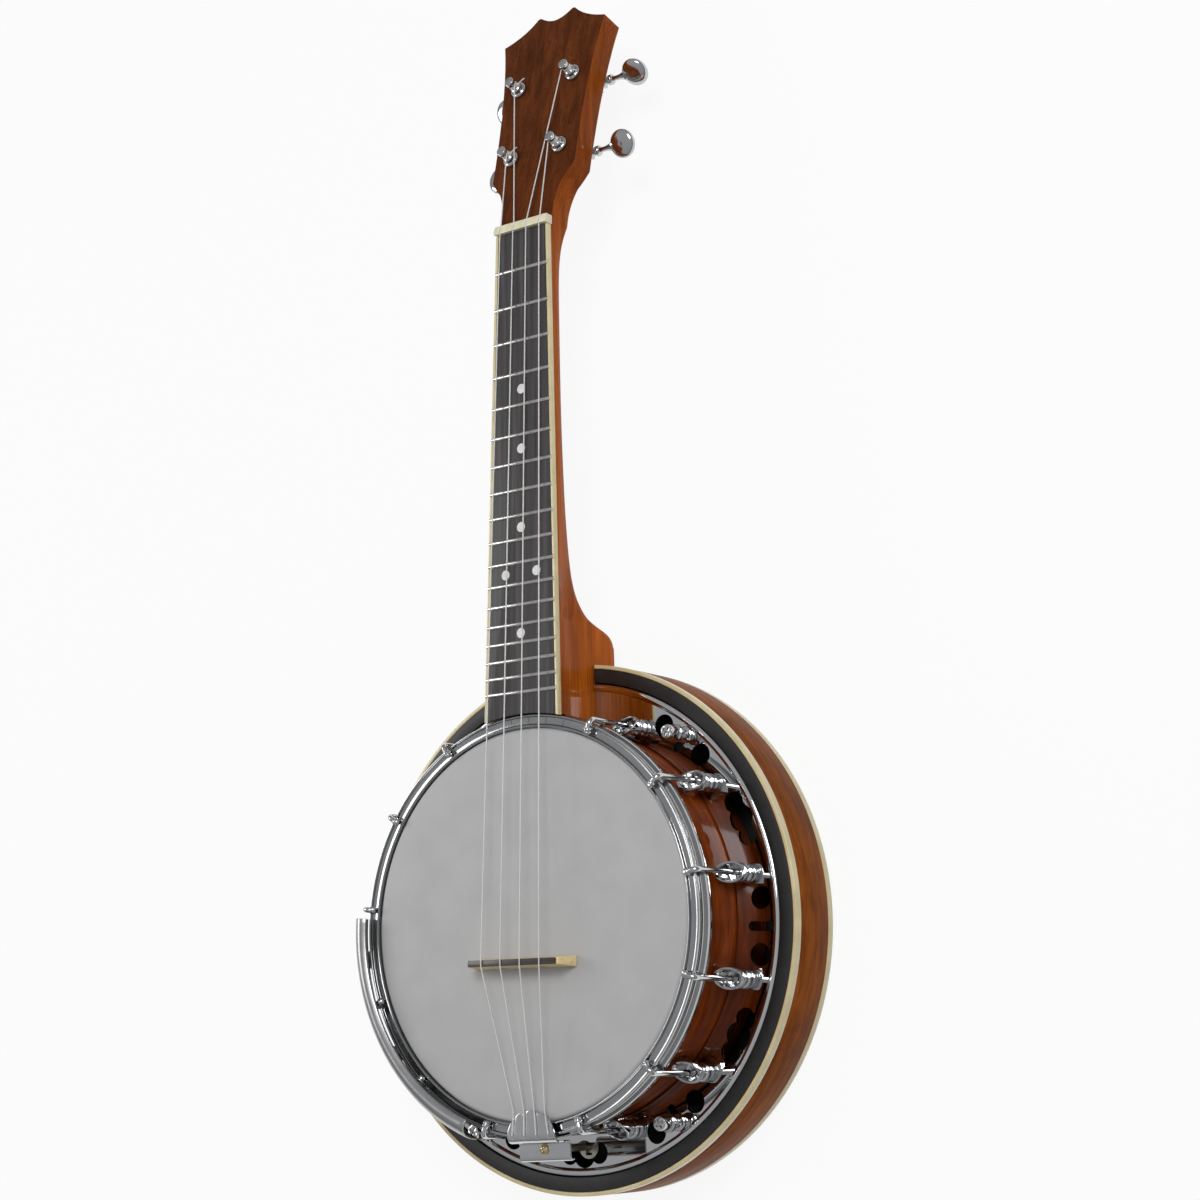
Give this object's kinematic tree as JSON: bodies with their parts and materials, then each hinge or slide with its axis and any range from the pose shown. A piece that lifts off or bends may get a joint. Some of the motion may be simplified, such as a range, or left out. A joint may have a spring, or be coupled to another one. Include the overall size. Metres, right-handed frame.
{
  "type": "banjo ukulele",
  "caption": "Banjo ukulele with a tensioned head, hooked metal hoop, pierced flange, closed wooden resonator, fretted neck and open geared tuners.",
  "frame": {"origin": "on the pot's axis at the resonator's flat back", "axes": "+Y along the neck to the headstock, +Z out through the head, +X to the treble side"},
  "size_m": [0.2666, 0.6299, 0.0868],
  "materials": {
    "mahogany": "gloss",
    "mahogany_rim": "gloss",
    "rosewood": "satin",
    "ebony": "satin",
    "maple": "satin",
    "binding_cream": "gloss",
    "nut_ivory": "satin",
    "head_skin": "coated",
    "string_nylon": "clear nylon",
    "nickel_chrome": "polished",
    "rod_steel": "plain"
  },
  "bodies": {
    "instrument": {"rim": "mahogany_rim", "coordinator_rod": "rod_steel", "drum_head": "head_skin", "tension_hoop": "nickel_chrome", "hook_01": "nickel_chrome", "shoe_01": "nickel_chrome", "hook_02": "nickel_chrome", "shoe_02": "nickel_chrome", "hook_03": "nickel_chrome", "shoe_03": "nickel_chrome", "hook_04": "nickel_chrome", "shoe_04": "nickel_chrome", "hook_05": "nickel_chrome", "shoe_05": "nickel_chrome", "hook_06": "nickel_chrome", "shoe_06": "nickel_chrome", "hook_07": "nickel_chrome", "shoe_07": "nickel_chrome", "hook_08": "nickel_chrome", "shoe_08": "nickel_chrome", "hook_09": "nickel_chrome", "shoe_09": "nickel_chrome", "hook_10": "nickel_chrome", "shoe_10": "nickel_chrome", "hook_11": "nickel_chrome", "shoe_11": "nickel_chrome", "hook_12": "nickel_chrome", "shoe_12": "nickel_chrome", "neck": "mahogany", "fretboard": "rosewood", "fretboard_binding": "binding_cream", "nut": "nut_ivory", "flange": "nickel_chrome", "resonator": "mahogany", "resonator_binding_front": "binding_cream", "resonator_binding_back": "binding_cream", "resonator_screw_1": "nickel_chrome", "resonator_screw_2": "nickel_chrome", "resonator_screw_3": "nickel_chrome", "resonator_screw_4": "nickel_chrome", "tailpiece": "nickel_chrome", "armrest": "nickel_chrome", "bridge_base": "maple", "bridge_cap": "ebony", "tuner_body_1": "nickel_chrome", "tuner_body_2": "nickel_chrome", "tuner_body_3": "nickel_chrome", "tuner_body_4": "nickel_chrome", "string_1": "string_nylon", "string_2": "string_nylon", "string_3": "string_nylon", "string_4": "string_nylon"},
    "knob_1": {"tuner_knob_1": "nickel_chrome"},
    "post_1": {"tuner_post_1": "nickel_chrome"},
    "knob_2": {"tuner_knob_2": "nickel_chrome"},
    "post_2": {"tuner_post_2": "nickel_chrome"},
    "knob_3": {"tuner_knob_3": "nickel_chrome"},
    "post_3": {"tuner_post_3": "nickel_chrome"},
    "knob_4": {"tuner_knob_4": "nickel_chrome"},
    "post_4": {"tuner_post_4": "nickel_chrome"}
  },
  "joints": [
    {"name": "knob_1_turn", "type": "hinge", "parent": "instrument", "child": "knob_1", "pos_m": [0.0163, 0.41031, 0.03855], "axis": [1, 0, 0], "continuous": true},
    {"name": "post_1_turn", "type": "hinge", "parent": "instrument", "child": "post_1", "pos_m": [0.0163, 0.40871, 0.06], "axis": [0, 0.2163, 0.9763], "continuous": true},
    {"name": "knob_2_turn", "type": "hinge", "parent": "instrument", "child": "knob_2", "pos_m": [0.0184, 0.45405, 0.02886], "axis": [1, 0, 0], "continuous": true},
    {"name": "post_2_turn", "type": "hinge", "parent": "instrument", "child": "post_2", "pos_m": [0.0184, 0.45245, 0.05031], "axis": [0, 0.2163, 0.9763], "continuous": true},
    {"name": "knob_3_turn", "type": "hinge", "parent": "instrument", "child": "knob_3", "pos_m": [-0.0184, 0.45405, 0.02886], "axis": [1, 0, 0], "continuous": true},
    {"name": "post_3_turn", "type": "hinge", "parent": "instrument", "child": "post_3", "pos_m": [-0.0184, 0.45245, 0.05031], "axis": [0, 0.2163, 0.9763], "continuous": true},
    {"name": "knob_4_turn", "type": "hinge", "parent": "instrument", "child": "knob_4", "pos_m": [-0.0163, 0.41031, 0.03855], "axis": [1, 0, 0], "continuous": true},
    {"name": "post_4_turn", "type": "hinge", "parent": "instrument", "child": "post_4", "pos_m": [-0.0163, 0.40871, 0.06], "axis": [0, 0.2163, 0.9763], "continuous": true}
  ],
  "couplings": [
    {"joint": "post_1_turn", "follows": "knob_1_turn", "ratio": -0.071429},
    {"joint": "post_2_turn", "follows": "knob_2_turn", "ratio": -0.071429},
    {"joint": "post_3_turn", "follows": "knob_3_turn", "ratio": 0.071429},
    {"joint": "post_4_turn", "follows": "knob_4_turn", "ratio": 0.071429}
  ]
}
